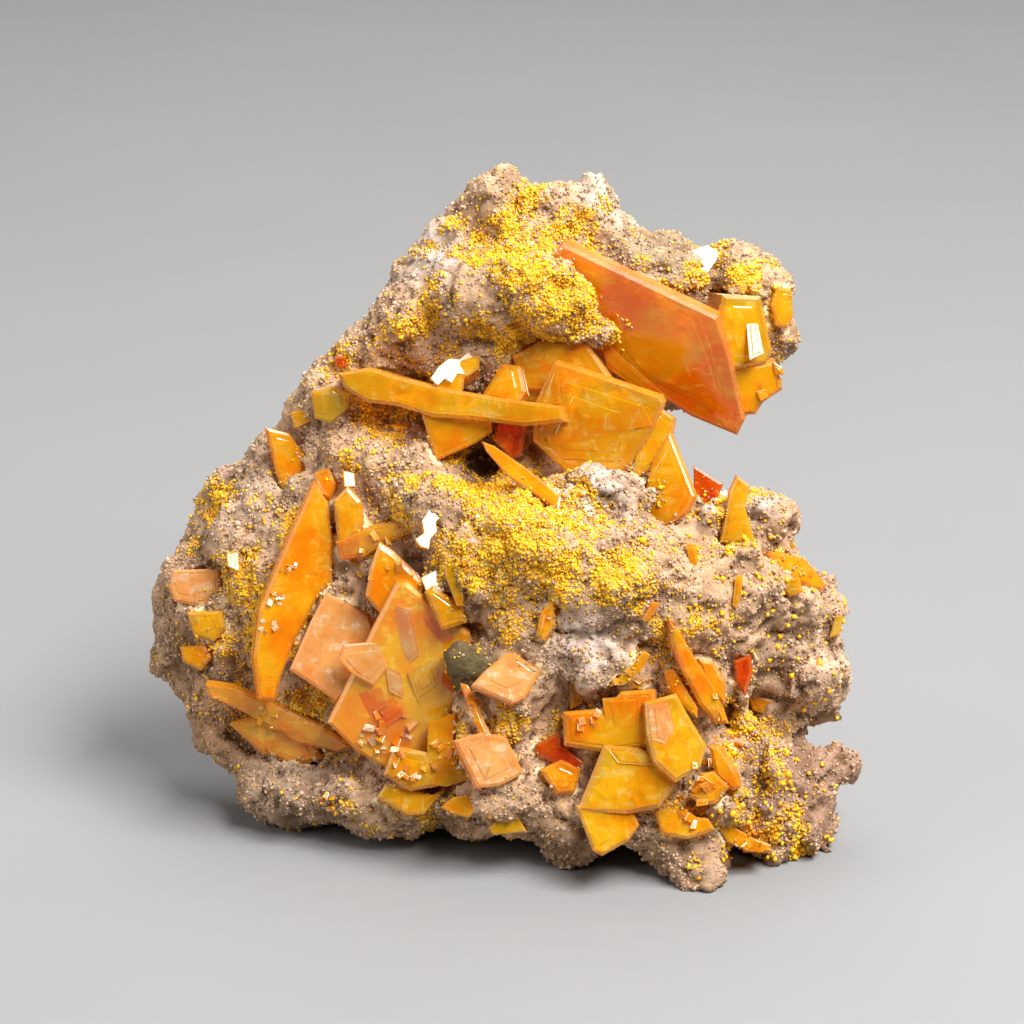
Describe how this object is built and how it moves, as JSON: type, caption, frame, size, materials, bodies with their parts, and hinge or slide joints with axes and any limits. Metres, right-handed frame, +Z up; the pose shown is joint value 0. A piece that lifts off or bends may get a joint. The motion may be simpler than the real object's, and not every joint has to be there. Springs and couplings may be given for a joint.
{
  "type": "wulfenite specimen",
  "caption": "Thin see-through orange tabular crystals standing out of a knobbly rock matrix that leans back and rests on its own feet.",
  "frame": {"origin": "on the surface that the specimen stands on, under the middle of its box", "axes": "+Z is up; the face with the large crystals looks towards -Y and leans back; +X is to the right of someone who looks at that face"},
  "size_m": [0.0648, 0.0394, 0.0576],
  "materials": {
    "rock": "rough",
    "orange_crystal": "glossy",
    "yellow_crystal": "glossy",
    "red_crystal": "glossy",
    "peach_crystal": "glossy"
  },
  "bodies": {
    "root": {"matrix": "rock", "upper_right_blade": "orange_crystal", "centre_blades": "orange_crystal", "splinter": "orange_crystal", "left_ridge_plate": "orange_crystal", "tall_blade": "orange_crystal", "roof_plates": "orange_crystal", "thin_plates": "orange_crystal", "lower_left_blade": "orange_crystal", "right_cluster": "orange_crystal", "leaning_blade": "orange_crystal", "thin_lath": "orange_crystal", "right_foot_crystals": "orange_crystal", "foot_plate": "orange_crystal", "lower_right_lath": "orange_crystal", "right_rim_blade": "orange_crystal", "right_edge_plate": "yellow_crystal", "lower_plate": "yellow_crystal", "left_yellow_plate": "yellow_crystal", "left_lower_plate": "yellow_crystal", "yellow_lath": "yellow_crystal", "kite_plate": "yellow_crystal", "hump_plate": "yellow_crystal", "dark_red_plate": "red_crystal", "dark_fin": "red_crystal", "brown_plate": "red_crystal", "left_red_plate": "red_crystal", "square_plate": "peach_crystal", "pale_plate": "peach_crystal", "left_peach_plate": "peach_crystal"}
  },
  "joints": []
}
